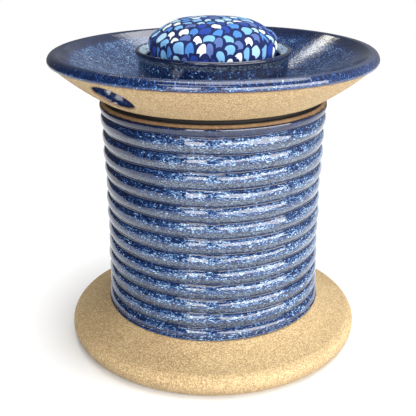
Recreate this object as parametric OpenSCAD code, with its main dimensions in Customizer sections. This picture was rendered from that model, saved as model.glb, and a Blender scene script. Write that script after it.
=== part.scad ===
// Yarn bowl shaped like a spool of thread: a ribbed jar on a flared foot, under a dish-shaped lid
// that carries a pincushion. The origin is the centre of the foot's underside, +Z is up, -Y is the
// front, and the yarn hole is at the front left.

/* [Foot flange] */
// Widest diameter of the foot flange
foot_d = 170; // [160:0.5:180]
// Radius of the flange's round edge
foot_edge_r = 7.1; // [5:0.1:8]
// How far the flange's top slope is hollowed
foot_sag = 1; // [0:0.1:2]
// Height where the flange's top slope meets the barrel
seat_z = 22; // [19:0.5:26]
// Clay thickness of the floor inside the barrel
floor_t = 9; // [7:0.5:11]
// Depth of the recess under the foot
recess_h = 3; // [1:0.5:4]
// Diameter of the recess under the foot
recess_d = 132; // [110:1:140]

/* [Barrel] */
// Height of the barrel's rim above the table
rim_z = 142; // [130:0.5:155]
// Inside diameter of the barrel
bore_d = 111; // [105:0.5:112]
// Groove radius at the barrel's waist, its narrowest place
waist_r = 59.5; // [59:0.1:61]
// How much wider the top groove is than the waist, on the radius
waist_flare = 1.5; // [0.5:0.1:2]
// Number of thrown ribs between the top ring and the foot ring
ribs = 12; // [10:1:14]
// How far a rib stands out of its grooves
rib_h = 1.9; // [1:0.1:2.5]
// How far the middle ribs sit below even spacing
rib_drift = 1.6; // [0:0.1:2]

/* [Lid dish] */
// Widest diameter of the dish
dish_d = 178; // [165:1:190]
// Height of the dish's rim above the table
dish_z = 167.8; // [164:0.1:172]
// Radius of the rim's upper side
lip_r = 3.9; // [3:0.1:4.2]
// Radius of the rim's lower side
lip_under_r = 2.5; // [2:0.1:3]
// Clay thickness of the dish's floor
dish_floor_t = 8; // [6:0.5:9]
// Diameter of the flat inside the dish
dish_flat_d = 108; // [100:1:112]
// Diameter of the lid's lower edge
lid_base_d = 124; // [122:0.5:126]
// How far the dish's inner slope is hollowed
slope_sag = 1.5; // [0.5:0.1:2]
// How far the dish's underside swells
flare_sag = 0.9; // [0.3:0.1:1.5]

/* [Holes for the yarn] */
// Diameter of the yarn hole through the dish's slope
yarn_hole_d = 22; // [12:0.5:24]
// Distance of the yarn hole from the axis, at the underside
yarn_hole_r = 76; // [74:0.5:77]
// How far the holes are turned from the front towards the left, in degrees
hole_turn = 38.6; // [20:0.2:60]
// Diameter of the feed hole through the dish's floor
feed_hole_d = 8; // [5:0.5:8]

/* [Locating ring] */
// Height of the ring under the lid
ring_h = 10; // [6:0.5:14]
// Wall of the ring
ring_t = 4.4; // [3:0.1:4.6]
// Gap all round between the ring and the barrel
ring_gap = 0.9; // [0.5:0.1:1.5]

/* [Pin cup and pincushion] */
// Outside diameter of the cup's wall
cup_d = 81.6; // [78:0.2:84]
// Wall of the cup
cup_t = 4.5; // [3.5:0.1:5.5]
// Diameter of the pincushion
cushion_d = 71.4; // [66:0.2:72]
// Height of the pincushion's dome above its widest place
dome_h = 15.2; // [10:0.1:20]
// Thickness of the printed cotton
cloth_t = 0.8; // [0.5:0.1:1.2]

/* [Hidden] */
$fn = 96;

clay = "BurlyWood";
glaze = "SteelBlue";

// Foot
edge = [foot_d / 2 - foot_edge_r, foot_edge_r];
seat = [bore_d / 2 + 7, seat_z];
// Where a line from the seat touches the round edge
edge_turn = atan2(seat[1] - edge[1], seat[0] - edge[0]) - acos(foot_edge_r / norm(seat - edge));
shoulder = edge + (foot_edge_r - 0.1) * [cos(edge_turn), sin(edge_turn)];
inner_floor_z = recess_h + floor_t;
cove_r = seat_z - inner_floor_z;
bore_r = bore_d / 2;

// Barrel
rib_top_z = rim_z - 6.7;               // the highest groove
rib_low_z = seat_z + 7.2;              // the lowest groove
pitch = (rib_top_z - rib_low_z) / ribs;
waist_z = rib_low_z + 0.4 * (rib_top_z - rib_low_z);
function groove_z(i) = rib_top_z - pitch * i - rib_drift * sin(180 * i / ribs);
function groove_r(z) = waist_r + waist_flare * pow((z - waist_z) / (rib_top_z - waist_z), 2);
low_r = groove_r(rib_low_z);
core_inset = 1;                        // the wall behind the ribs stays this far inside the grooves
rim_ring_r = 4;                        // the smooth ring above the ribs
foot_ring_r = 5;                       // the smooth ring below the ribs
bead_r = 0.9;                          // the glaze's thick lower edge
rim_land_r = 60;                       // the flat on which the lid rests ends here

// Lid
lip_x = dish_d / 2 - lip_r;
lip_z = dish_z - lip_r;
lid_x = lid_base_d / 2;
lid_z = rim_z + 1.7;                   // the lid's lower edge stays this far above the rim
flare_x = dish_d / 2 - 1.3;
flare_z = lip_z - 1.2;
flare_tilt = atan2(flare_z - lid_z, flare_x - lid_x);
dish_flat_z = rim_z + dish_floor_t;
slope_x = lip_x - lip_r * sin(40);
slope_z = lip_z + lip_r * cos(40);
ring_r = bore_r - ring_gap;
feed_hole_r = ring_r - ring_t - feed_hole_d / 2 - 0.3;
yarn_hole_z = lid_z + (yarn_hole_r - lid_x) * tan(flare_tilt);

// Pin cup and pincushion
cup_r = cup_d / 2;
cup_bore_r = cup_r - cup_t;
cup_rim_r = 1.3;
cup_rim_z = dish_z - cup_rim_r;
cushion_r = cushion_d / 2;
widest_z = dish_z + 2;                 // the cushion is widest just above the cup
glue_t = 0.6;
glue_r = 22;
cushion_z = dish_flat_z + glue_t;
tuck_r = 6;                            // the cushion's rounded lower edge
dome_r = (cushion_r * cushion_r + dome_h * dome_h) / (2 * dome_h);
dome_z = widest_z + dome_h - dome_r;
gather_r = 10;                         // the opening that the gather thread draws in
disc_t = 1.6;
thread_r = 0.4;

// Points on a shallow arc from a to b whose middle stands off the chord by sag, to its right
function bowed(a, b, sag, steps) = [
  for (i = [0:steps])
    let (t = i / steps, n = [b[1] - a[1], a[0] - b[0]] / norm(b - a))
      a + (b - a) * t + n * sag * 4 * t * (1 - t)
];

// Points on a circle about centre, from angle a to angle b
function arc(centre, r, a, b, steps) = [
  for (i = [0:steps]) let (turn = a + (b - a) * i / steps) centre + r * [cos(turn), sin(turn)]
];

// Everything turned about the vertical axis is drawn as its right-hand half
module turned() {
  rotate_extrude() children();
}

module foot_flange() {
  color(clay) difference() {
    union() {
      turned() translate(edge) circle(foot_edge_r);
      turned() polygon(concat(
        [[0, seat_z]], bowed(seat, shoulder, foot_sag, 8), [edge, [edge[0] - 1, 0], [0, 0]]
      ));
    }
    turned() {
      polygon([[0, -1], [recess_d / 2 + 1, -1], [recess_d / 2 - recess_h, recess_h], [0, recess_h]]);
      translate([0, inner_floor_z]) square([bore_r - cove_r, cove_r + 1]);
      translate([bore_r - cove_r, seat_z]) circle(cove_r);
    }
  }
}

module barrel_outline() {
  core = [for (i = [0:ribs]) [groove_r(groove_z(i)) - core_inset, groove_z(i)]];
  polygon(concat(
    [[bore_r - 1, rim_z], [rim_land_r, rim_z], [rim_land_r + 2.2, rim_z - 2.4]],
    core,
    [[low_r + 1, seat_z], [bore_r - 1, seat_z]]
  ));
  translate([groove_r(rib_top_z) + rib_h - rim_ring_r, rib_top_z + rim_ring_r * 0.72])
    intersection() {
      circle(rim_ring_r);
      translate([-rim_ring_r, -rim_ring_r]) square([2 * rim_ring_r, rim_ring_r * 1.4]);
    }
  translate([low_r + 2.4 - foot_ring_r, seat_z + foot_ring_r * 0.62]) intersection() {
    circle(foot_ring_r);
    translate([0, -foot_ring_r * 0.62]) square(2 * foot_ring_r);
  }
  translate([low_r + 1.8, seat_z + bead_r]) circle(bead_r);
}

module rib(i) {
  top = groove_z(i);
  low = groove_z(i + 1);
  half = (top - low) / 2;
  r = (half * half + rib_h * rib_h) / (2 * rib_h);
  mid = (top + low) / 2;
  translate([groove_r(mid) + rib_h - r, mid]) circle(r);
}

module barrel() {
  color(glaze) difference() {
    union() {
      turned() barrel_outline();
      for (i = [0:ribs - 1]) turned() rib(i);
    }
    cylinder(r = bore_r, h = rim_z + 1);
  }
}

// A hole at the front left, square to a surface that tilts up towards the rim
module turned_hole(r, z, tilt, d, h) {
  rotate([0, 0, -90 - hole_turn]) translate([r, 0, z]) rotate([0, -tilt, 0])
    cylinder(d = d, h = h, center = true);
}

module lid_dish() {
  color(glaze) difference() {
    turned() difference() {
      union() {
        polygon(concat(
          [[0, rim_z], [rim_land_r + 0.2, rim_z]],
          bowed([lid_x, lid_z], [flare_x, flare_z], flare_sag, 12),
          [[lip_x + 1, lip_z], [slope_x, slope_z], [0, slope_z]]
        ));
        translate([dish_d / 2 - lip_under_r, lip_z]) circle(lip_under_r);
        translate([lip_x, lip_z]) intersection() {
          circle(lip_r);
          translate([-lip_r, 0]) square([2 * lip_r, lip_r]);
        }
      }
      polygon(concat(
        [[0, dish_flat_z]],
        bowed([dish_flat_d / 2, dish_flat_z], [slope_x, slope_z], slope_sag, 12),
        [[slope_x - 1, dish_z + 1], [0, dish_z + 1]]
      ));
    }
    turned_hole(yarn_hole_r, yarn_hole_z, flare_tilt, yarn_hole_d, 30);
    turned_hole(feed_hole_r, dish_flat_z - dish_floor_t / 2, 0, feed_hole_d, 2 * dish_floor_t);
  }
}

module locating_ring() {
  color(clay) turned() translate([ring_r - ring_t, rim_z - ring_h]) square([ring_t, ring_h]);
}

module pin_cup() {
  color(glaze) turned() {
    polygon([
      [cup_bore_r, dish_flat_z], [cup_r, dish_flat_z], [cup_r, cup_rim_z - 3.6],
      [cup_r + 1.3, cup_rim_z - 0.7], [cup_r, cup_rim_z + 0.9], [cup_bore_r, cup_rim_z - 2.4]
    ]);
    translate([cup_r + 0.2, cup_rim_z]) circle(cup_rim_r);
  }
}

// The pincushion's side from its flat base to the top of its dome, drawn in all over by inset
function cushion_side(inset) = concat(
  arc([cushion_r - tuck_r, cushion_z + tuck_r], tuck_r - inset, -90, 0, 6),
  arc([0, dome_z], dome_r - inset, acos(cushion_r / dome_r), 90, 14)
);

module pincushion_cover() {
  inside = cushion_side(cloth_t);
  color("RoyalBlue") turned() polygon(concat(
    [[gather_r, cushion_z]], cushion_side(0),
    [for (i = [len(inside) - 1:-1:0]) inside[i]], [[gather_r, cushion_z + cloth_t]]
  ));
}

module pincushion_stuffing() {
  color("White") turned() difference() {
    polygon(concat([[0, cushion_z + cloth_t]], cushion_side(cloth_t)));
    square([cushion_r, cushion_z + cloth_t + disc_t]);
  }
}

module pincushion_base_disc() {
  color("Tan") translate([0, 0, cushion_z + cloth_t])
    cylinder(r = cushion_r - tuck_r, h = disc_t);
}

module gather_thread() {
  color("Navy") turned() translate([gather_r - thread_r - 0.1, cushion_z + thread_r])
    circle(thread_r);
}

module glue_bed() {
  color("Ivory") translate([0, 0, dish_flat_z]) cylinder(r = glue_r, h = glue_t);
}

foot_flange();
barrel();
lid_dish();
locating_ring();
pin_cup();
pincushion_cover();
pincushion_stuffing();
pincushion_base_disc();
gather_thread();
glue_bed();
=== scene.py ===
"""Looks of the yarn bowl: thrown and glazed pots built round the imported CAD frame, a stuffed
pincushion made by cloth simulation, and a pale studio.

The frame is in metres: +Z up, -Y the front. Profiles are worked out in millimetres as (radius, height).
Each pot is one turned mesh; "s_" attributes on it tell its material where glaze and bare clay are.
"""

import math

import bpy
import numpy as np
from mathutils import Matrix, Vector


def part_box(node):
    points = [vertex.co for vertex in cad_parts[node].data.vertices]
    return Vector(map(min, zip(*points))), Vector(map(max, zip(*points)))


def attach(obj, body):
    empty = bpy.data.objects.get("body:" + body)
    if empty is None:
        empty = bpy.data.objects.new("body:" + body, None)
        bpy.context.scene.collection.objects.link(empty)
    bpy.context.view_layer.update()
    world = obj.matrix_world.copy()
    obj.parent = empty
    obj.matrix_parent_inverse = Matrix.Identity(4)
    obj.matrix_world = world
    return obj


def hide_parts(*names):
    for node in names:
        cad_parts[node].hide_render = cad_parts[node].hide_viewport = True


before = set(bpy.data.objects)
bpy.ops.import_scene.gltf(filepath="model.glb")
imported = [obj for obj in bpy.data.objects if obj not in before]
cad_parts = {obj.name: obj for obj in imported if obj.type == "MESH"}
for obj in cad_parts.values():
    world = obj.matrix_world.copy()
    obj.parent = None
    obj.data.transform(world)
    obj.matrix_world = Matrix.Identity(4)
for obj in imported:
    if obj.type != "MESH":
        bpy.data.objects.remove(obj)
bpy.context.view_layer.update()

MM = 0.001


# ------------------------------------------------------------------------------------------------
# Camera
# ------------------------------------------------------------------------------------------------

CAMERA_AT = (0, -0.4060, 0.2356)
CAMERA_TILT = 68.33
LENS = 64.25
SENSOR_W = 36
SHIFT_X = -0.0125


def make_camera():
    """Above the table in front of the bowl, looking down a little through a short telephoto lens."""
    camera = bpy.data.objects.new("camera", bpy.data.cameras.new("camera"))
    bpy.context.scene.collection.objects.link(camera)
    camera.location = CAMERA_AT
    camera.rotation_euler = (math.radians(CAMERA_TILT), 0, 0)
    camera.data.sensor_width = SENSOR_W
    camera.data.lens = LENS
    camera.data.shift_x = SHIFT_X
    camera.data.clip_start = 0.01
    camera.data.clip_end = 20
    bpy.context.scene.camera = camera


make_camera()


# ------------------------------------------------------------------------------------------------
# Sizes, in millimetres: the main ones from the frame, the rest as in the CAD
# ------------------------------------------------------------------------------------------------

def top(node):
    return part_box(node)[1].z / MM


def bottom(node):
    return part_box(node)[0].z / MM


def radius(node):
    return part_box(node)[1].x / MM


FOOT_R = radius("foot_flange")
SEAT_Z = top("foot_flange")
RIM_Z = top("barrel")
DISH_R = radius("lid_dish")
DISH_Z = top("lid_dish")
RING_R = radius("locating_ring")
RING_LOW_Z = bottom("locating_ring")
CUP_LIP_R = radius("pin_cup")
DISH_FLAT_Z = bottom("pin_cup")
CUSHION_R = radius("pincushion_cover")
CUSHION_LOW_Z = bottom("pincushion_cover")
CUSHION_TOP_Z = top("pincushion_cover")

BORE_R = 55.5
FLOOR_Z = 12
RECESS_Z = 3
RECESS_R = 66
FOOT_EDGE_R = 7.1
RIBS = 12
RIB_H = 1.9
RIB_DRIFT = 1.6
RIB_TOP_Z = RIM_Z - 6.7
RIB_LOW_Z = SEAT_Z + 7.2
WAIST_R = 59.5
WAIST_FLARE = 1.5
WAIST_Z = RIB_LOW_Z + 0.4 * (RIB_TOP_Z - RIB_LOW_Z)
LID_R = 62
LID_Z = RIM_Z + 1.7
LIP_R = 3.9
LIP_UNDER_R = 2.5
HOLE_TURN = 38.6
YARN_HOLE_R = 11
YARN_HOLE_AT = 76
FEED_HOLE_R = 4
CUP_R = 40.8
CUP_BORE_R = 36.3
RING_T = 4.4


def groove_z(i):
    return RIB_TOP_Z - (RIB_TOP_Z - RIB_LOW_Z) / RIBS * i - RIB_DRIFT * math.sin(math.pi * i / RIBS)


def groove_r(z):
    return WAIST_R + WAIST_FLARE * ((z - WAIST_Z) / (RIB_TOP_Z - WAIST_Z)) ** 2


# ------------------------------------------------------------------------------------------------
# Outlines: lists of (radius, height)
# ------------------------------------------------------------------------------------------------

def arc(centre, r, start, end, steps=12):
    """Points on a circle, from one angle to the other in degrees."""
    turns = np.radians(np.linspace(start, end, steps + 1))
    return [(centre[0] + r * math.cos(t), centre[1] + r * math.sin(t)) for t in turns]


def bowed(a, b, sag, steps=16):
    """Points from a to b on a shallow arc that stands off to the right of the chord by sag."""
    a, b = np.array(a, float), np.array(b, float)
    along = b - a
    aside = np.array([along[1], -along[0]]) / np.linalg.norm(along)
    return [tuple(a + along * t + aside * sag * 4 * t * (1 - t)) for t in np.linspace(0, 1, steps + 1)]


def softened(points, step, blur, closed):
    """The outline with evenly spaced points and its corners rounded over about blur."""
    p = np.array(points, float)
    if closed:
        p = np.vstack([p, p[:1]])
    away = np.r_[0, np.cumsum(np.linalg.norm(np.diff(p, axis=0), axis=1))]
    count = int(away[-1] / step)
    at = np.linspace(0, away[-1], count + (0 if closed else 1), endpoint=not closed)
    q = np.stack([np.interp(at, away, p[:, k]) for k in (0, 1)], axis=1)
    reach = int(3 * blur / step) + 1
    weights = np.exp(-0.5 * (np.arange(-reach, reach + 1) * step / blur) ** 2)
    weights /= weights.sum()
    if closed:
        padded = np.vstack([q[-reach:], q, q[:reach]])
    else:
        padded = np.vstack([2 * q[0] - q[reach:0:-1], q, 2 * q[-1] - q[-2:-reach - 2:-1]])
    return np.stack([np.convolve(padded[:, k], weights, "valid") for k in (0, 1)], axis=1)


# ------------------------------------------------------------------------------------------------
# Meshes
# ------------------------------------------------------------------------------------------------

def make_mesh(name, verts, faces):
    mesh = bpy.data.meshes.new(name)
    mesh.from_pydata([tuple(v) for v in verts], [], faces)
    mesh.validate()
    obj = bpy.data.objects.new(name, mesh)
    bpy.context.scene.collection.objects.link(obj)
    return obj


def turn(name, outline, segments=320):
    """A pot turned from its outline. An outline that starts and ends on the axis is open there."""
    r, z = outline[:, 0], outline[:, 1]
    if np.dot(r, np.roll(z, -1)) < np.dot(z, np.roll(r, -1)):
        outline = outline[::-1]
    on_axis = outline[0][0] < 0.01
    rows = outline[1:-1] if on_axis else outline
    angles = np.linspace(0, 2 * math.pi, segments, endpoint=False)
    r, z = rows[:, 0], rows[:, 1]
    verts = np.stack([
        np.outer(r, np.cos(angles)), np.outer(r, np.sin(angles)), np.repeat(z[:, None], segments, 1)
    ], axis=2).reshape(-1, 3) * MM
    n = len(rows)
    faces = []
    for i in range(n - 1 if on_axis else n):
        a, b = i * segments, (i + 1) % n * segments
        for k in range(segments):
            m = (k + 1) % segments
            faces.append((a + k, a + m, b + m, b + k))
    if on_axis:
        poles = len(verts)
        verts = np.vstack([verts, [[0, 0, outline[0][1] * MM], [0, 0, outline[-1][1] * MM]]])
        last = (n - 1) * segments
        for k in range(segments):
            m = (k + 1) % segments
            faces.append((poles, m, k))
            faces.append((poles + 1, last + k, last + m))
    return make_mesh(name, verts, faces)


def apply_modifiers(obj):
    graph = bpy.context.evaluated_depsgraph_get()
    mesh = bpy.data.meshes.new_from_object(obj.evaluated_get(graph))
    obj.modifiers.clear()
    obj.data = mesh


def points_of(obj):
    co = np.empty(len(obj.data.vertices) * 3)
    obj.data.vertices.foreach_get("co", co)
    return co.reshape(-1, 3)


def set_points(obj, co):
    obj.data.vertices.foreach_set("co", co.ravel())
    obj.data.update()


def store(obj, name, values):
    """A value per vertex, for the material to read."""
    attribute = obj.data.attributes.new("s_" + name, "FLOAT", "POINT")
    attribute.data.foreach_set("value", np.asarray(values, np.float32))


def store_vectors(obj, name, vectors):
    attribute = obj.data.attributes.new("s_" + name, "FLOAT_VECTOR", "POINT")
    attribute.data.foreach_set("vector", np.asarray(vectors, np.float32).ravel())


def polar(obj):
    """Radius and height in millimetres and turn in radians (0 at the right, -pi/2 at the front)."""
    co = points_of(obj) / MM
    return np.hypot(co[:, 0], co[:, 1]), co[:, 2], np.arctan2(co[:, 1], co[:, 0])


def shade_smooth(obj):
    obj.data.polygons.foreach_set("use_smooth", [True] * len(obj.data.polygons))
    obj.data.update()


def finish_piece(obj, material, body, slot, *replaced):
    shade_smooth(obj)
    obj.data.materials.clear()
    obj.data.materials.append(material)
    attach(obj, body)
    if replaced:
        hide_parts(*replaced)


def wobble(turns, waves):
    """A slow hand-made waviness round the pot: waves are (how many, how much, from where)."""
    return sum(much * np.cos(many * turns - math.radians(start)) for many, much, start in waves)


def smooth_share(value, low, high):
    t = np.clip((value - low) / (high - low), 0, 1)
    return t * t * (3 - 2 * t)


# ------------------------------------------------------------------------------------------------
# Shader nodes
# ------------------------------------------------------------------------------------------------

class Shader:
    """One material with a Principled surface. Its methods add a node and return the node's output."""

    def __init__(self, name):
        self.material = bpy.data.materials.new(name)
        self.material.use_nodes = True
        self.tree = self.material.node_tree
        self.tree.nodes.clear()
        self.surface = self.tree.nodes.new("ShaderNodeBsdfPrincipled")
        end = self.tree.nodes.new("ShaderNodeOutputMaterial")
        self.tree.links.new(self.surface.outputs["BSDF"], end.inputs["Surface"])

    def plug(self, socket, value):
        if isinstance(value, bpy.types.NodeSocket):
            self.tree.links.new(value, socket)
        elif hasattr(socket.default_value, "__len__") and len(socket.default_value) == 4:
            socket.default_value = (*value, 1) if len(value) == 3 else value
        else:
            socket.default_value = value

    def set(self, **values):
        for name, value in values.items():
            self.plug(self.surface.inputs[name.replace("_", " ")], value)

    def math(self, operation, a, b=0.0, c=0.0):
        node = self.tree.nodes.new("ShaderNodeMath")
        node.operation = operation
        for socket, value in zip(node.inputs, (a, b, c)):
            self.plug(socket, value)
        return node.outputs[0]

    def add(self, *values):
        total = values[0]
        for value in values[1:]:
            total = self.math("ADD", total, value)
        return total

    def times(self, a, b):
        return self.math("MULTIPLY", a, b)

    def share(self, value, low, high, a=0.0, b=1.0):
        """a where value is low and b where it is high, smoothly in between."""
        node = self.tree.nodes.new("ShaderNodeMapRange")
        node.interpolation_type = "SMOOTHSTEP"
        for socket, v in zip(node.inputs, (value, low, high, a, b)):
            self.plug(socket, v)
        return node.outputs[0]

    def mix(self, share, a, b, kind="MIX"):
        node = self.tree.nodes.new("ShaderNodeMix")
        node.data_type = "RGBA"
        node.blend_type = kind
        self.plug(node.inputs[0], share)
        self.plug(node.inputs[6], a)
        self.plug(node.inputs[7], b)
        return node.outputs[2]

    def ramp(self, value, *stops, constant=False):
        """A colour for each value; stops are (value, colour)."""
        node = self.tree.nodes.new("ShaderNodeValToRGB")
        ramp = node.color_ramp
        ramp.interpolation = "CONSTANT" if constant else "LINEAR"
        while len(ramp.elements) < len(stops):
            ramp.elements.new(1)
        for element, (at, colour) in zip(ramp.elements, stops):
            element.position = at
            element.color = (*colour, 1)
        self.plug(node.inputs[0], value)
        return node.outputs[0]

    def read(self, name, vector=False):
        node = self.tree.nodes.new("ShaderNodeAttribute")
        node.attribute_name = "s_" + name
        return node.outputs["Vector" if vector else "Fac"]

    def place(self):
        """Where the point is on the object, in millimetres."""
        node = self.tree.nodes.new("ShaderNodeTexCoord")
        return self.scaled(node.outputs["Object"], (1 / MM, 1 / MM, 1 / MM))

    def scaled(self, vector, by):
        node = self.tree.nodes.new("ShaderNodeVectorMath")
        node.operation = "MULTIPLY"
        self.plug(node.inputs[0], vector)
        self.plug(node.inputs[1], by)
        return node.outputs[0]

    def shifted(self, vector, by):
        node = self.tree.nodes.new("ShaderNodeVectorMath")
        node.operation = "ADD"
        self.plug(node.inputs[0], vector)
        self.plug(node.inputs[1], by)
        return node.outputs[0]

    def noise(self, vector, size, detail=2.0, rough=0.5, colour=False):
        """Noise whose blotches are about size millimetres across."""
        node = self.tree.nodes.new("ShaderNodeTexNoise")
        self.plug(node.inputs["Vector"], vector)
        self.plug(node.inputs["Scale"], 1 / size)
        self.plug(node.inputs["Detail"], detail)
        self.plug(node.inputs["Roughness"], rough)
        return node.outputs["Color" if colour else "Fac"]

    def grains(self, vector, size):
        """Distance from the nearest of many scattered points about size millimetres apart."""
        node = self.tree.nodes.new("ShaderNodeTexVoronoi")
        self.plug(node.inputs["Vector"], vector)
        self.plug(node.inputs["Scale"], 1 / size)
        return node.outputs["Distance"], node.outputs["Color"]

    def dice(self, vector):
        """A number and a colour that are the same all over a cell and differ between cells."""
        node = self.tree.nodes.new("ShaderNodeTexWhiteNoise")
        self.plug(node.inputs["Vector"], vector)
        return node.outputs["Value"], node.outputs["Color"]

    def split(self, vector):
        node = self.tree.nodes.new("ShaderNodeSeparateXYZ")
        self.plug(node.inputs[0], vector)
        return node.outputs[0], node.outputs[1], node.outputs[2]

    def join(self, x, y, z=0.0):
        node = self.tree.nodes.new("ShaderNodeCombineXYZ")
        for socket, value in zip(node.inputs, (x, y, z)):
            self.plug(socket, value)
        return node.outputs[0]

    def bump(self, height, depth):
        """A normal for a surface whose height of 1 stands depth millimetres up."""
        node = self.tree.nodes.new("ShaderNodeBump")
        self.plug(node.inputs["Height"], height)
        node.inputs["Strength"].default_value = 1
        node.inputs["Distance"].default_value = depth * MM
        return node.outputs[0]


# ------------------------------------------------------------------------------------------------
# Bare clay and glaze
# ------------------------------------------------------------------------------------------------

CLAY_DEEP = (0.355, 0.240, 0.112)
CLAY_PALE = (0.425, 0.312, 0.152)
CLAY_MOTTLE = (0.240, 0.158, 0.070)
CLAY_GLINT = (0.640, 0.500, 0.270)
CLAY_PIT = (0.215, 0.128, 0.052)
GROG_PALE = (0.860, 0.780, 0.560)
GROG_DARK = (0.150, 0.090, 0.040)
# Flashing brown beside the glaze, made darker as painted shade for the ring under the lid.
HALO_AND_SHADE_BROWN = (0.150, 0.070, 0.026)
# Painted shade: near-black for the narrow gap under the lid, and a light darkening of the foot's low
# edge.
PAINTED_SHADE_BLACK = (0.008, 0.005, 0.004)
CLAY_ROUGH = 0.80

NAVY = (0.003, 0.008, 0.032)
DEEP_BLUE = (0.006, 0.020, 0.092)
MID_BLUE = (0.016, 0.060, 0.205)
PALE_BLUE = (0.062, 0.150, 0.300)
MILK = (0.390, 0.530, 0.620)
THIN_BLACK = (0.012, 0.013, 0.018)
THIN_SLATE = (0.036, 0.052, 0.082)
THIN_SILVER = (0.160, 0.205, 0.280)
THIN_EDGE = (0.022, 0.015, 0.012)
GLAZE_IOR = 1.65


def clay_layers(s, halo, tint):
    """Colour, roughness and height (in mm) of bare, gritty stoneware. halo is 1 beside the glaze.
    Where s_shade is 1 the clay is painted near-black as painted shade, as in the narrow gap under the
    lid, and on the foot's low edge painted shade makes it only a little darker. tint multiplies the
    clay's colour; the lid's darker tint is painted shade."""
    place = s.place()
    tone = s.noise(place, 30, 3, 0.55)
    colour = s.mix(s.share(tone, 0.35, 0.65), CLAY_DEEP, CLAY_PALE)
    mottle = s.noise(place, 2.2, 3, 0.6)
    colour = s.mix(s.share(mottle, 0.42, 0.66, 0, 0.5), colour, CLAY_MOTTLE)
    fine = s.noise(place, 0.8, 2, 0.8)
    colour = s.mix(s.share(fine, 0.46, 0.62, 0, 0.85), colour, CLAY_GLINT)
    colour = s.mix(s.share(fine, 0.46, 0.34, 0, 0.60), colour, CLAY_PIT)
    away, which = s.grains(place, 1.0)
    x, y, z = s.split(which)
    grain_r = s.times(z, 0.30)
    pale = s.times(s.share(away, grain_r, s.add(grain_r, 0.12), 1, 0), s.share(x, 0.70, 0.74))
    colour = s.mix(s.times(pale, 0.5), colour, GROG_PALE)
    dark = s.times(s.share(away, 0.10, 0.24, 1, 0), s.share(y, 0.90, 0.92))
    colour = s.mix(s.times(dark, 0.6), colour, GROG_DARK)
    colour = s.mix(1.0, colour, tint, "MULTIPLY")
    # Beside the glaze the clay turns flashing brown, darkened as painted shade.
    colour = s.mix(s.times(halo, 0.85), colour, HALO_AND_SHADE_BROWN)
    # Painted shade, as much as s_shade says.
    colour = s.mix(s.read("shade"), colour, PAINTED_SHADE_BLACK)
    height = s.add(s.times(fine, 0.20), s.times(mottle, 0.10), s.times(pale, 0.05))
    return colour, CLAY_ROUGH, height


def glaze_layers(s, flow, crest, dark, contrast, gloss):
    """Colour, roughness and height (in mm) of the blue glaze. flow is the place on the surface in
    millimetres, squeezed across the way the streaks run; crest is 1 where the glaze lies thick and
    0 where it breaks thin over an edge; dark is 1 where it is nearly plain navy. contrast sets how
    far the milky specks stand out, and gloss is the roughness where there are none."""
    broad = s.noise(flow, 10, 3, 0.6)
    cloud = s.noise(flow, 3.0, 3, 0.62)
    speck = s.noise(flow, 1.25, 2, 0.7)
    fine = s.noise(s.shifted(flow, (40, 0, 0)), 0.5, 1, 0.5)
    milk = s.add(s.times(speck, 1.45), s.times(cloud, 0.65), s.times(broad, 0.45), s.times(fine, 0.5))
    milk = s.add(s.times(s.add(milk, -1.525), contrast), s.times(dark, -0.32), 0.49)
    colour = s.ramp(
        milk,
        (0.28, NAVY),
        (0.44, DEEP_BLUE),
        (0.53, MID_BLUE),
        (0.61, PALE_BLUE),
        (0.75, MILK),
    )
    thin = s.share(s.add(crest, s.times(s.add(cloud, -0.5), 1.0)), 0.25, 0.62, 1, 0)
    breaking = s.ramp(
        s.add(s.times(speck, 1.5), s.times(fine, 1.0), -0.75),
        (0.25, THIN_BLACK),
        (0.50, THIN_SLATE),
        (0.75, THIN_SILVER),
    )
    colour = s.mix(s.times(thin, 0.85), colour, breaking)
    edge_line = s.times(s.share(thin, 0.15, 0.45), s.share(thin, 0.55, 0.85, 1, 0))
    colour = s.mix(s.times(edge_line, 0.8), colour, THIN_EDGE)
    height = s.add(s.times(broad, 0.10), s.times(cloud, 0.02), s.times(speck, 0.005))
    rough = s.share(milk, 0.35, 0.75, gloss, gloss + 0.09)
    return colour, rough, height


def pot_material(name, squeeze=None, contrast=1.0, gloss=0.05, clay=(1, 1, 1)):
    """Clay and glaze on one pot. squeeze scales the place on the object so that the glaze's streaks
    run the other ways; without it the mesh says where they run, in s_flow."""
    s = Shader(name)
    edge = s.read("glazed")
    wander = s.times(s.add(s.noise(s.place(), 6, 3, 0.6), -0.5), 1.6)
    edge = s.add(edge, wander)
    glazed = s.share(edge, -0.12, 0.12)
    halo = s.share(edge, -2.2, -0.1)
    clay_colour, clay_rough, clay_height = clay_layers(s, halo, clay)
    flow = s.scaled(s.place(), squeeze) if squeeze else s.read("flow", vector=True)
    dark = s.add(s.read("dark"), s.share(edge, 0.0, 1.4, 0.8, 0))
    colour, rough, height = glaze_layers(s, flow, s.read("crest"), dark, contrast, gloss)
    s.set(Base_Color=s.mix(glazed, clay_colour, colour))
    s.set(Roughness=s.share(glazed, 0, 1, clay_rough, rough))
    both = s.add(
        s.times(height, glazed),
        s.times(clay_height, s.math("SUBTRACT", 1, glazed)),
        s.times(s.share(edge, -0.2, 0.8), 0.2),
    )
    s.set(Normal=s.bump(both, 1), IOR=GLAZE_IOR)
    return s.material


# ------------------------------------------------------------------------------------------------
# The jar: foot flange and barrel
# ------------------------------------------------------------------------------------------------

ALL_GLAZED = 9.0
ALL_BARE = -9.0


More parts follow.
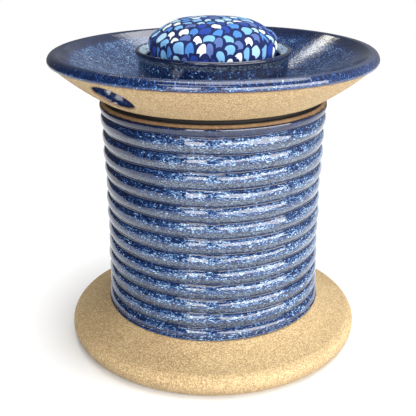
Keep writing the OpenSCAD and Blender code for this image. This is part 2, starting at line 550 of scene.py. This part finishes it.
def foot_outline():
    edge = np.array([FOOT_R - FOOT_EDGE_R, FOOT_EDGE_R])
    seat = np.array([BORE_R + 7, SEAT_Z])
    gap = seat - edge
    turned_by = math.atan2(gap[1], gap[0]) - math.acos(FOOT_EDGE_R / np.hypot(*gap))
    shoulder = edge + FOOT_EDGE_R * np.array([math.cos(turned_by), math.sin(turned_by)])
    cove = SEAT_Z - FLOOR_Z
    return (
        [(0, RECESS_Z), (RECESS_R - 3, RECESS_Z), (RECESS_R, 0), (edge[0] - 1, 0)]
        + arc(edge, FOOT_EDGE_R, -90, math.degrees(turned_by), 24)
        + bowed(shoulder, seat, -1)
        + [(BORE_R, SEAT_Z)]
        + arc((BORE_R - cove, SEAT_Z), cove, 0, -90)
        + [(0, FLOOR_Z)]
    )


def make_foot(material):
    foot = turn("foot_flange_pot", softened(foot_outline(), 0.8, 0.5, closed=False))
    r, z, turns = polar(foot)
    inside = (z > FLOOR_Z - 1) & (r < BORE_R + 0.6)
    store(foot, "glazed", np.where(inside, 3.0, ALL_BARE))
    store(foot, "crest", np.full(len(r), 0.5))
    store(foot, "dark", np.full(len(r), 0.2))
    # Painted shade: the foot's low round edge is made a little darker.
    low_edge_painted_shade = smooth_share(FOOT_EDGE_R + 3 - z, 0, 6) * (r > RECESS_R)
    store(foot, "shade", 0.26 * low_edge_painted_shade)
    co = points_of(foot)
    outer = smooth_share(r, 64, FOOT_R)
    top_side = smooth_share(z, 3, 9)
    co[:, 2] += MM * outer * top_side * wobble(turns, [(2, 0.22, 40), (3, 0.14, 200), (5, 0.07, 10)])
    co[:, :2] *= (1 + outer * wobble(turns, [(2, 0.0022, 15), (3, 0.001, 100)]))[:, None]
    set_points(foot, co)
    finish_piece(foot, material, "base", "bare_stoneware", "foot_flange")


LAND_R = 60.9  # outside this the rim is seen past the lid
BORE_THINNING = 8  # only every eighth point is kept where the bore is straight


def barrel_outline():
    """From the foot of the bore up to the rim, over it and down the ribs."""
    low_r = groove_r(RIB_LOW_Z)
    rim_ring = (groove_r(RIB_TOP_Z) + RIB_H - 4, RIB_TOP_Z + 2.9)
    foot_ring = (low_r + 2.4 - 5, SEAT_Z + 3.1)
    points = [(BORE_R, SEAT_Z), (BORE_R, RIM_Z), (56.6, RIM_Z), (57.0, RIM_Z - 1.3)]
    points += [(60.2, RIM_Z - 0.9), (61.2, RIM_Z - 1.5), (61.8, RIM_Z - 2.6)]
    points += arc(rim_ring, 4, 22, -44, 8)
    for i in range(RIBS):
        high, low = groove_z(i), groove_z(i + 1)
        half, mid = (high - low) / 2, (high + low) / 2
        r = (half * half + RIB_H * RIB_H) / (2 * RIB_H)
        reach = math.degrees(math.asin(half / r))
        points += arc((groove_r(mid) + RIB_H - r, mid), r, reach, -reach, 14)
    points += arc(foot_ring, 5, 52, -28, 10)
    points += arc((low_r + 1.8, SEAT_Z + 0.9), 0.9, 60, -90, 6)
    points += [(low_r, SEAT_Z)]
    return points


def make_barrel(material):
    outline = softened(barrel_outline(), 0.56, 0.4, closed=True)
    half_bore = (RIM_Z - SEAT_Z) / 2 - 3
    plain = (outline[:, 0] < BORE_R + 0.01) & (abs(outline[:, 1] - (SEAT_Z + RIM_Z) / 2) < half_bore)
    outline = outline[~plain | (np.arange(len(outline)) % BORE_THINNING == 0)]
    barrel = turn("barrel_pot", outline)
    r, z, turns = polar(barrel)
    outside = r > BORE_R + 2
    grooves = np.array([groove_z(i) for i in range(RIBS + 1)])
    down_rib = np.interp(z, grooves[::-1], np.arange(RIBS + 1)[::-1]) % 1
    crest = 1 - smooth_share(down_rib, 0.52, 0.60) + 0.9 * smooth_share(down_rib, 0.86, 0.94)
    ribbed = outside & (z < RIB_TOP_Z) & (z > RIB_LOW_Z)
    store(barrel, "glazed", np.clip(3 * (RIM_Z - 2.4 - z), -0.4, ALL_GLAZED))
    store(barrel, "crest", np.where(ribbed, crest, 0.9))
    groove_dark = 0.8 * (1 - smooth_share(np.minimum(down_rib, 1 - down_rib), 0.03, 0.10))
    dark = np.where(ribbed, 0.05 + groove_dark, np.where(z > SEAT_Z + 12, 0.8, 0.2))
    # Painted shade: the glaze is made darker on the left, and more so towards the top, as in the lid's
    # shadow.
    left_painted_shade = smooth_share(-np.cos(turns), 0.2, 0.9)
    store(barrel, "dark", dark + left_painted_shade * (0.15 + 0.6 * smooth_share(z, 55, RIM_Z - 10)))
    # Painted shade: the rim's land in the narrow gap under the lid is made near-black.
    land_painted_shade = smooth_share(r, BORE_R + 0.6, BORE_R + 1) * smooth_share(LAND_R - r, 0, 0.8)
    store(barrel, "shade", land_painted_shade)
    co = points_of(barrel)
    free = smooth_share(z, SEAT_Z, SEAT_Z + 12) * smooth_share(RIM_Z - z, 0.5, 10) * outside
    ripple = wobble(turns + z * 0.05, [(3, 0.10, 20), (7, 0.06, 100), (13, 0.03, 240)])
    co[:, 2] += MM * free * ripple * 1.6
    out = MM * free * wobble(turns - z * 0.11, [(2, 0.16, 80), (5, 0.09, 10), (11, 0.04, 0)])
    co[:, 0] += out * np.cos(turns)
    co[:, 1] += out * np.sin(turns)
    low = smooth_share(SEAT_Z + 8 - z, 0, 8) * outside
    co[:, 2] += MM * low * wobble(turns, [(1, 0.55, 0), (4, 0.12, 70), (9, 0.07, 0)])
    set_points(barrel, co)
    finish_piece(barrel, material, "base", "blue_glaze", "barrel")


# ------------------------------------------------------------------------------------------------
# The lid: dish, locating ring and pin cup
# ------------------------------------------------------------------------------------------------

LIP_AT = (DISH_R - LIP_R, DISH_Z - LIP_R)
FLARE_TOP = (DISH_R - 1.3, DISH_Z - LIP_R - 1.2)
FLARE_TILT = math.degrees(math.atan2(FLARE_TOP[1] - LID_Z, FLARE_TOP[0] - LID_R))
FLARE = bowed((LID_R, LID_Z), FLARE_TOP, 0.9)
SLOPE_TOP = (
    LIP_AT[0] - LIP_R * math.sin(math.radians(40)), LIP_AT[1] + LIP_R * math.cos(math.radians(40))
)


def dish_outline():
    """From the middle of the underside out to the lip and back over the dish's slope."""
    return (
        [(0, RIM_Z), (56.6, RIM_Z), (57, RIM_Z + 0.8), (61.2, LID_Z)]
        + FLARE
        + arc((DISH_R - LIP_UNDER_R, LIP_AT[1]), LIP_UNDER_R, -25, 0, 4)
        + arc(LIP_AT, LIP_R, 0, 130, 14)
        + bowed(SLOPE_TOP, (54, DISH_FLAT_Z), -0.4)
        + [(0, DISH_FLAT_Z)]
    )


def underside_z(r):
    """Height of the lid's outer side at a radius."""
    flare = np.array(FLARE)
    return np.where(r < LID_R, RIM_Z, np.interp(r, flare[:, 0], flare[:, 1]))


def cutter(r, half_length, at, z, tilt, flare):
    """A round hole's shape, flared at both ends so that the hole's edges are rounded."""
    spread = 6
    top_side = [(r + flare + spread, half_length + 1)]
    top_side += arc((r + flare, half_length - flare), flare, 90, 180, 8)
    outline = [(0, half_length + 1)] + top_side + [(x, -y) for x, y in reversed(top_side)]
    outline += [(0, -half_length - 1)]
    tool = turn("cutter", np.array(outline, float), 64)
    tool.matrix_world = (
        Matrix.Rotation(math.radians(-90 - HOLE_TURN), 4, "Z")
        @ Matrix.Translation(Vector((at, 0, z)) * MM)
        @ Matrix.Rotation(math.radians(-tilt), 4, "Y")
    )
    return tool


def make_dish(material):
    dish = turn("lid_dish_pot", softened(dish_outline(), 0.65, 0.35, closed=False))
    slope_mid_z = LID_Z + (YARN_HOLE_AT - LID_R) * math.tan(math.radians(FLARE_TILT))
    inner = np.interp(YARN_HOLE_AT, [54, SLOPE_TOP[0]], [DISH_FLAT_Z, SLOPE_TOP[1]])
    cos_tilt = math.cos(math.radians(FLARE_TILT))
    wall = (inner - slope_mid_z) * cos_tilt
    lean = math.sin(math.radians(FLARE_TILT)) * wall / 2
    floor_t = DISH_FLAT_Z - RIM_Z
    feed_hole_at = RING_R - RING_T - FEED_HOLE_R - 0.3
    hole_mid_z = slope_mid_z + wall / 2 * cos_tilt
    tools = [
        cutter(YARN_HOLE_R, wall / 2 + 0.9, YARN_HOLE_AT - lean, hole_mid_z, FLARE_TILT, 0.9),
        cutter(FEED_HOLE_R, floor_t / 2, feed_hole_at, RIM_Z + floor_t / 2, 0, 1.5),
    ]
    for tool in tools:
        cut = dish.modifiers.new("hole", "BOOLEAN")
        cut.operation = "DIFFERENCE"
        cut.solver = "EXACT"
        cut.object = tool
    apply_modifiers(dish)
    to_yarn_hole = np.array(tools[0].matrix_world.inverted())
    for tool in tools:
        bpy.data.objects.remove(tool)
    r, z, turns = polar(dish)
    in_tool = points_of(dish) @ to_yarn_hole[:3, :3].T + to_yarn_hole[:3, 3]
    from_axis = np.hypot(in_tool[:, 0], in_tool[:, 1]) / MM
    in_hole = 1 - smooth_share(from_axis, YARN_HOLE_R + 0.4, YARN_HOLE_R + 2.4)
    up_flare = (r - FLARE_TOP[0]) * cos_tilt + (z - FLARE_TOP[1]) * math.sin(math.radians(FLARE_TILT))
    above = z - underside_z(r) - 3.2 + 2.4 * in_hole
    store(dish, "glazed", np.clip(np.maximum(up_flare - 0.4, above), ALL_BARE, ALL_GLAZED))
    on_lip = smooth_share(z, DISH_Z - 5.5, DISH_Z - 2)
    store(dish, "crest", 0.8 + 0.2 * on_lip)
    # Painted light and shade: the lip's glaze is made milkier towards the front right, where the window
    # lights it, and the slope's glaze milkier on the left and darker on the right.
    lip_dark = 0.70 - 0.30 * smooth_share(np.cos(turns + 1.2), 0, 0.8)
    slope_dark = 0.03 + 0.12 * np.cos(turns)
    dark = slope_dark + (lip_dark - slope_dark) * on_lip
    store(dish, "dark", np.maximum(dark, 0.7 * in_hole))
    # Painted shade: the lid's underside between the locating ring and its edge, the roof of the gap, is
    # made near-black.
    seat = smooth_share(r, RING_R - 0.4, RING_R + 0.4) * smooth_share(LID_R - 0.2 - r, 0, 0.8)
    store(dish, "shade", seat * (z < LID_Z))
    along = (r + z) * 1.3 + z * smooth_share(r, DISH_R - 5, DISH_R - 2)
    flow = np.stack([130 * np.cos(turns), 130 * np.sin(turns), along], axis=1)
    co = points_of(dish)
    store_vectors(dish, "flow", flow + (co / MM - flow) * in_hole[:, None])
    outer = smooth_share(r, 62, DISH_R)
    co[:, 2] += MM * outer * wobble(turns, [(1, 0.35, -20), (2, 0.4, 100), (5, 0.08, 0)])
    set_points(dish, co)
    finish_piece(dish, material, "lid", "blue_glaze", "lid_dish")


def make_locating_ring(material):
    inner = RING_R - RING_T
    outline = [
        (inner, RIM_Z), (inner, RING_LOW_Z + 1), (inner + 1, RING_LOW_Z), (RING_R - 1.2, RING_LOW_Z),
        (RING_R, RING_LOW_Z + 1.2), (RING_R, RIM_Z),
    ]
    ring = turn("locating_ring_pot", softened(outline, 0.5, 0.25, closed=True), 256)
    r, _, _ = polar(ring)
    store(ring, "glazed", np.full(len(r), ALL_BARE))
    store(ring, "crest", np.full(len(r), 0.5))
    store(ring, "dark", np.zeros(len(r)))
    store(ring, "shade", np.zeros(len(r)))
    finish_piece(ring, material, "lid", "bare_stoneware", "locating_ring")


def make_cup(material):
    rim_z = DISH_Z - 1.3
    outline = (
        [(CUP_BORE_R, DISH_FLAT_Z), (CUP_R + 1.6, DISH_FLAT_Z), (CUP_R + 0.3, DISH_FLAT_Z + 1.4)]
        + [(CUP_R, DISH_FLAT_Z + 4), (CUP_R, rim_z - 3.6)]
        + arc((CUP_LIP_R - 1.3, rim_z), 1.3, -40, 100, 10)
        + [(CUP_BORE_R + 0.4, rim_z - 2.0), (CUP_BORE_R, rim_z - 3.2)]
    )
    cup = turn("pin_cup_pot", softened(outline, 0.4, 0.35, closed=True))
    r, z, turns = polar(cup)
    store(cup, "glazed", np.full(len(r), ALL_GLAZED))
    under_rim = smooth_share(z, rim_z - 4.6, rim_z - 2.6) * smooth_share(rim_z - z, 0.2, 1.6)
    under_rim = under_rim * (r > CUP_R - 0.6)
    store(cup, "crest", 1 - under_rim)
    # Painted reflection: the rim's top and inner bevel are made pale, as if the glaze mirrored the
    # white room.
    bevel_painted_reflection = smooth_share(z, rim_z - 3.5, rim_z - 1.5) * smooth_share(CUP_R - r, 0, 1)
    store(cup, "dark", 0.45 + 0.5 * smooth_share(z, rim_z - 4, rim_z - 2) - 1.9 * bevel_painted_reflection)
    store(cup, "shade", np.zeros(len(r)))
    co = points_of(cup)
    high = smooth_share(z, DISH_FLAT_Z + 4, DISH_Z)
    co[:, 2] += MM * high * wobble(turns, [(2, 0.18, 60), (3, 0.10, 0)])
    set_points(cup, co)
    finish_piece(cup, material, "lid", "blue_glaze", "pin_cup")


# ------------------------------------------------------------------------------------------------
# The pincushion
# ------------------------------------------------------------------------------------------------

SCALE_W = 7.3
SCALE_H = 9.2
SCALE_STEP = 0.66
SCALE_GAP = 0.29
SCALE_R = 0.57
WIDEST_Z = DISH_Z + 0.5
FULLNESS = 0.88
GATHER_R = 10
PRINT_TURN = 16
PRINT_LINE = (0.005, 0.012, 0.075)
PRINT_FILLS = (
    (0.00, (0.78, 0.87, 0.90)), (0.17, (0.36, 0.58, 0.74)), (0.31, (0.18, 0.41, 0.70)),
    (0.50, (0.06, 0.21, 0.56)), (0.69, (0.012, 0.045, 0.30)), (0.87, (0.085, 0.14, 0.35)),
)
THREADS_PER_MM = 2.4
PRESSURE = 4
LAST_FRAME = 20
MOST_PUFF = 0.9
CALM_R = (20, 36)
COVER_SEGMENTS = 140
CREASE_TURN = -62


def print_colour(s, uv):
    """Rows of scales with round tops, each row over the one above it. uv is in scales."""
    bend = s.noise(uv, 1.7, 1, 0.5, colour=True)
    bend = s.scaled(s.shifted(bend, (-0.5, -0.5, -0.5)), (1.1, 0.9, 0))
    u, v, _ = s.split(s.shifted(uv, bend))
    first = s.math("CEIL", s.math("DIVIDE", s.math("SUBTRACT", v, SCALE_R), SCALE_STEP))
    colour = PRINT_LINE
    for up in (2, 1, 0):
        row = s.add(first, up)
        stagger = s.times(s.math("MODULO", s.math("ABSOLUTE", row), 2), 0.5)
        column = s.math("ROUND", s.math("SUBTRACT", u, stagger))
        value, jitter = s.dice(s.join(column, row, 3.0))
        jx, jy, jr = s.split(jitter)
        dx = s.math("SUBTRACT", s.math("SUBTRACT", u, stagger), column)
        dx = s.add(dx, s.times(s.add(jx, -0.5), 0.20))
        dy = s.math("SUBTRACT", v, s.times(row, SCALE_STEP))
        dy = s.add(dy, s.times(s.add(jy, -0.5), 0.20))
        away = s.math("SQRT", s.add(s.times(dx, dx), s.times(dy, dy)))
        size = s.add(SCALE_R - SCALE_GAP / 2, s.times(jr, -0.09))
        fill = s.ramp(value, *PRINT_FILLS, constant=True)
        ringed = s.mix(s.share(away, size, s.add(size, 0.03)), fill, PRINT_LINE)
        outside = s.share(away, s.add(size, SCALE_GAP - 0.01), s.add(size, SCALE_GAP))
        colour = s.mix(outside, ringed, colour)
    return colour


def cotton_material():
    s = Shader("printed_cotton")
    uv = s.scaled(s.read("cloth", vector=True), (1 / SCALE_W, 1 / SCALE_H, 0))
    colour = print_colour(s, uv)
    threads = s.scaled(s.read("cloth", vector=True), (1, 1, 0))
    x, y, _ = s.split(threads)
    wave = 2 * math.pi * THREADS_PER_MM
    warp = s.math("SINE", s.times(x, wave))
    weft = s.math("SINE", s.times(y, wave))
    weave = s.add(s.times(s.times(warp, weft), 0.5), 0.5)
    slub = s.noise(s.scaled(threads, (1, 0.15, 1)), 0.5, 2, 0.6)
    colour = s.mix(s.share(weave, 0.1, 0.9, 0.16, 0), colour, (0.01, 0.02, 0.10))
    colour = s.mix(s.share(slub, 0.4, 0.7, 0, 0.02), colour, (0.30, 0.45, 0.80))
    s.set(Base_Color=colour, Roughness=0.86, Specular_IOR_Level=0.2)
    s.set(Sheen_Weight=0.03, Sheen_Roughness=0.4)
    s.set(Normal=s.bump(s.add(s.times(weave, 0.6), s.times(slub, 0.4)), 0.07))
    return s.material


def cushion_outline(inset=0.0):
    """From the gathered hole in the base out to the side and over the dome, drawn in by inset."""
    r, tuck = CUSHION_R - inset, 7
    dome_h = CUSHION_TOP_Z - inset - WIDEST_Z
    dome = [
        (r * math.cos(t) ** FULLNESS, WIDEST_Z + dome_h * math.sin(t) ** FULLNESS)
        for t in np.radians(np.linspace(4, 89, 24))
    ]
    return (
        [(0, CUSHION_LOW_Z + inset + 0.6), (GATHER_R * 0.7, CUSHION_LOW_Z + inset + 0.3)]
        + [(GATHER_R + 4, CUSHION_LOW_Z + inset)]
        + arc((r - 1.5 - tuck, CUSHION_LOW_Z + inset + tuck), tuck, -90, 0, 6)
        + [(r - 0.8, WIDEST_Z - 4), (r, WIDEST_Z)]
        + dome + [(0, CUSHION_TOP_Z - inset)]
    )


def calmed(moved, start, segments):
    """The movement made the same all round towards the axis, where the mesh's points crowd together."""
    rows = moved[:-2].reshape(-1, segments, 3)
    x, y = start[:-2, 0].reshape(rows.shape[:2]), start[:-2, 1].reshape(rows.shape[:2])
    r = np.hypot(x, y)
    outward = np.stack([x / r, y / r, np.zeros_like(r)], axis=2)
    even = outward * (rows * outward).sum(axis=2).mean(axis=1)[:, None, None]
    even[:, :, 2] = rows[:, :, 2].mean(axis=1)[:, None]
    rows = even + (rows - even) * smooth_share(r / MM, *CALM_R)[:, :, None]
    poles = [[0, 0, rows[0, 0, 2]], [0, 0, rows[-1, 0, 2]]]
    return np.vstack([rows.reshape(-1, 3), poles])


def inflate(obj, pinned, segments):
    """Cloth simulation of the stuffed cover: pressure inside, held where the cup and thread hold it."""
    cap = MOST_PUFF * MM
    start = points_of(obj).copy()
    group = obj.vertex_groups.new(name="held")
    for i in np.nonzero(pinned > 0)[0]:
        group.add([int(i)], float(pinned[i]), "REPLACE")
    cloth = obj.modifiers.new("cloth", "CLOTH")
    settings = cloth.settings
    settings.quality = 6
    settings.mass = 0.2
    settings.tension_stiffness = 12
    settings.compression_stiffness = 12
    settings.shear_stiffness = 4
    settings.bending_stiffness = 0.3
    settings.use_pressure = True
    settings.uniform_pressure_force = PRESSURE
    settings.shrink_min = -0.03
    settings.vertex_group_mass = "held"
    settings.effector_weights.gravity = 0
    cloth.collision_settings.use_collision = False
    scene = bpy.context.scene
    scene.frame_start, scene.frame_end = 1, LAST_FRAME
    cloth.point_cache.frame_start, cloth.point_cache.frame_end = 1, LAST_FRAME
    for number in range(1, LAST_FRAME + 1):
        scene.frame_set(number)
    apply_modifiers(obj)
    moved = points_of(obj) - start
    length = np.linalg.norm(moved, axis=1)
    moved *= (np.minimum(length, cap) / np.maximum(length, 1e-9))[:, None]
    moved = start + calmed(moved, start, segments)
    dome = np.maximum(moved[:, 2] / MM - WIDEST_Z, 0)
    moved[:, 2] += MM * dome * ((start[:, 2].max() - moved[:, 2].max()) / MM / dome.max())
    set_points(obj, moved)
    scene.frame_set(1)


def make_cover(material):
    outline = softened(cushion_outline(MOST_PUFF), 1.3, 1.2, closed=False)
    cover = turn("pincushion_cover_cloth", outline, COVER_SEGMENTS)
    r, z, turns = polar(cover)
    co = points_of(cover)
    gathers = np.cos(22 * turns + 1.3 * np.sin(3 * turns))
    near_cup = smooth_share(WIDEST_Z + 7 - z, 0, 7) * smooth_share(z, CUSHION_LOW_Z + 4, WIDEST_Z - 3)
    under = smooth_share(CUSHION_LOW_Z + 5 - z, 0, 4) * smooth_share(r, 4, 12)
    push = -MM * (0.25 * near_cup * (1 - gathers) + 0.35 * under * (1 - gathers))
    co[:, 0] += push * np.cos(turns)
    co[:, 1] += push * np.sin(turns)
    co[:, 2] += MM * 0.5 * under * (gathers + 1) * 0.4
    set_points(cover, co)
    inflate(cover, smooth_share(WIDEST_Z - z, 0.5, 4), COVER_SEGMENTS)
    smooth = cover.modifiers.new("smooth", "SUBSURF")
    smooth.levels = smooth.render_levels = 1
    apply_modifiers(cover)
    co = points_of(cover)
    turns = np.arctan2(co[:, 1], co[:, 0])
    crease_at = math.radians(CREASE_TURN)
    aside = (turns - crease_at) * 30
    height = co[:, 2] / MM
    crease = np.exp(-0.5 * (aside / 1.3) ** 2) * smooth_share(WIDEST_Z + 5.5 - height, 0, 5)
    crease = crease * smooth_share(height, WIDEST_Z - 6, WIDEST_Z - 2)
    co[:, 0] -= MM * 1.3 * crease * np.cos(turns)
    co[:, 1] -= MM * 1.3 * crease * np.sin(turns)
    set_points(cover, co)
    middle = np.array([0, 0, (WIDEST_Z - 20)]) * MM
    ray = co - middle
    flat = np.hypot(ray[:, 0], ray[:, 1])
    along = np.arctan2(flat, ray[:, 2]) * 44
    turned = turns + math.radians(PRINT_TURN)
    cloth = np.stack([along * np.cos(turned), along * np.sin(turned), np.zeros(len(turns))], axis=1)
    store_vectors(cover, "cloth", cloth)
    finish_piece(cover, material, "lid", "printed_cotton", "pincushion_cover")


def make_stuffing(material):
    outline = softened(cushion_outline(3.2), 1.5, 2, closed=False)
    stuffing = turn("pincushion_stuffing_fill", outline, 120)
    r, z, turns = polar(stuffing)
    co = points_of(stuffing)
    lumps = (
        np.sin(5 * turns + z * 0.5) * np.sin(z * 0.8 + 2) + 0.6 * np.sin(11 * turns - z * 0.7)
    )
    shrink = 1 - 0.018 * (lumps + 1.6) * smooth_share(r, 3, 15)
    co[:, :2] *= shrink[:, None]
    set_points(stuffing, co)
    finish_piece(stuffing, material, "lid", "fibre_fill", "pincushion_stuffing")


# ------------------------------------------------------------------------------------------------
# Materials of the hidden pieces
# ------------------------------------------------------------------------------------------------

def plain_material(name, light, dark, size, rough, depth, stretch=(1, 1, 1)):
    """Two tones mottled together, with a fine relief."""
    s = Shader(name)
    place = s.scaled(s.place(), stretch)
    blotch = s.noise(place, size, 3, 0.6)
    grain = s.noise(place, size / 6, 2, 0.6)
    colour = s.mix(s.share(blotch, 0.35, 0.65), dark, light)
    colour = s.mix(s.share(grain, 0.45, 0.7, 0, 0.35), colour, light)
    s.set(Base_Color=colour, Roughness=s.share(grain, 0.3, 0.7, rough, rough * 0.85))
    s.set(Normal=s.bump(grain, depth))
    return s.material


def dress_node(node, material):
    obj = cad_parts[node]
    obj.data.materials.clear()
    obj.data.materials.append(material)
    shade_smooth(obj)


# ------------------------------------------------------------------------------------------------
# Studio
# ------------------------------------------------------------------------------------------------

FLOOR_R = 1.05
ROOM_LEFT = 0.06
ROOM_RIGHT = 0.50
LOOK_AT = (0, 0, 0.09)


def make_floor():
    turns = np.linspace(0, 2 * math.pi, 96, endpoint=False)
    rim = [(FLOOR_R * math.cos(t), FLOOR_R * math.sin(t), 0) for t in turns]
    floor = make_mesh("studio_floor", rim, [tuple(range(len(rim)))])
    s = Shader("studio_floor")
    cloud = s.noise(s.place(), 300, 2, 0.5)
    s.set(Base_Color=s.mix(cloud, (0.90, 0.90, 0.90), (0.94, 0.94, 0.94)), Roughness=0.7)
    floor.data.materials.append(s.material)


def softbox(name, azimuth, elevation, distance, width, height, power, colour=(1, 1, 1)):
    """A rectangular light facing the bowl, in metres and watts. Azimuth 0 is the front and 90 the
    right."""
    light = bpy.data.lights.new(name, "AREA")
    light.shape = "RECTANGLE"
    light.size, light.size_y = width, height
    light.energy = power
    light.color = colour
    lamp = bpy.data.objects.new(name, light)
    bpy.context.scene.collection.objects.link(lamp)
    a, e = math.radians(azimuth), math.radians(elevation)
    out = Vector((math.sin(a) * math.cos(e), -math.cos(a) * math.cos(e), math.sin(e)))
    target = Vector(LOOK_AT)
    lamp.location = target + out * distance
    lamp.rotation_euler = (-out).to_track_quat("-Z", "Y").to_euler()
    lamp.visible_camera = False


def make_surroundings():
    """A room that is darker to the left, seen in the glaze; straight behind the bowl it is white."""
    world = bpy.data.worlds.new("studio")
    bpy.context.scene.world = world
    world.use_nodes = True
    tree = world.node_tree
    room = tree.nodes["Background"]
    room.inputs["Color"].default_value = (0.97, 0.98, 1.0, 1)
    way = tree.nodes.new("ShaderNodeTexCoord")
    split = tree.nodes.new("ShaderNodeSeparateXYZ")
    side = tree.nodes.new("ShaderNodeMapRange")
    for socket, value in zip(side.inputs[1:5], (-0.9, 0.9, ROOM_LEFT, ROOM_RIGHT)):
        socket.default_value = value
    tree.links.new(way.outputs["Generated"], split.inputs[0])
    tree.links.new(split.outputs[0], side.inputs[0])
    tree.links.new(side.outputs[0], room.inputs["Strength"])
    backdrop = tree.nodes.new("ShaderNodeBackground")
    backdrop.inputs["Color"].default_value = (1, 1, 1, 1)
    kind = tree.nodes.new("ShaderNodeLightPath")
    choice = tree.nodes.new("ShaderNodeMixShader")
    tree.links.new(kind.outputs["Is Camera Ray"], choice.inputs[0])
    tree.links.new(room.outputs[0], choice.inputs[1])
    tree.links.new(backdrop.outputs[0], choice.inputs[2])
    tree.links.new(choice.outputs[0], tree.nodes["World Output"].inputs["Surface"])


def make_studio():
    make_floor()
    make_surroundings()
    softbox("window", 42, 13, 1.2, 1.7, 0.55, 22.5, (1.0, 0.985, 0.96))
    softbox("window_pane", -17, 13, 1.2, 0.38, 0.55, 5.2, (1.0, 0.99, 0.97))
    softbox("back_window", -158, 42, 1.5, 0.12, 0.16, 0.65, (1.0, 0.97, 0.88))
    softbox("back_sky", 163, 32, 1.8, 0.85, 1.1, 0.6, (0.85, 0.95, 1.0))
    softbox("lamp", -15, 46, 1.3, 0.9, 0.24, 3.0, (1.0, 0.99, 0.97))
    softbox("overhead", 120, 78, 3.0, 2.6, 2.6, 100)
    bpy.context.scene.view_settings.view_transform = "Standard"


# ------------------------------------------------------------------------------------------------
# The whole bowl
# ------------------------------------------------------------------------------------------------

ribbed = pot_material("ribbed_pot", squeeze=(1, 1, 2.6))
# The lid's bare clay is a darker copy of the same clay: painted shade on its downward-facing flare.
dished = pot_material("dished_pot", contrast=0.75, gloss=0.11, clay=(0.79, 0.76, 0.74))
plain_pot = pot_material("plain_pot", squeeze=(1, 1, 1.1), gloss=0.14, clay=(0.98, 0.94, 0.92))

make_foot(plain_pot)
make_barrel(ribbed)
make_dish(dished)
make_locating_ring(plain_pot)
make_cup(plain_pot)
make_cover(cotton_material())
make_stuffing(plain_material("fibre_fill", (0.92, 0.92, 0.90), (0.74, 0.75, 0.76), 3, 0.95, 0.4))
dress_node("pincushion_base_disc", plain_material(
    "card", (0.62, 0.50, 0.34), (0.45, 0.35, 0.22), 4, 0.85, 0.06, (1, 0.3, 1)))
dress_node("gather_thread", plain_material(
    "thread", (0.06, 0.09, 0.26), (0.02, 0.03, 0.11), 0.6, 0.7, 0.1))
dress_node("glue_bed", plain_material(
    "glue", (0.86, 0.82, 0.70), (0.72, 0.66, 0.52), 5, 0.35, 0.1))
make_studio()
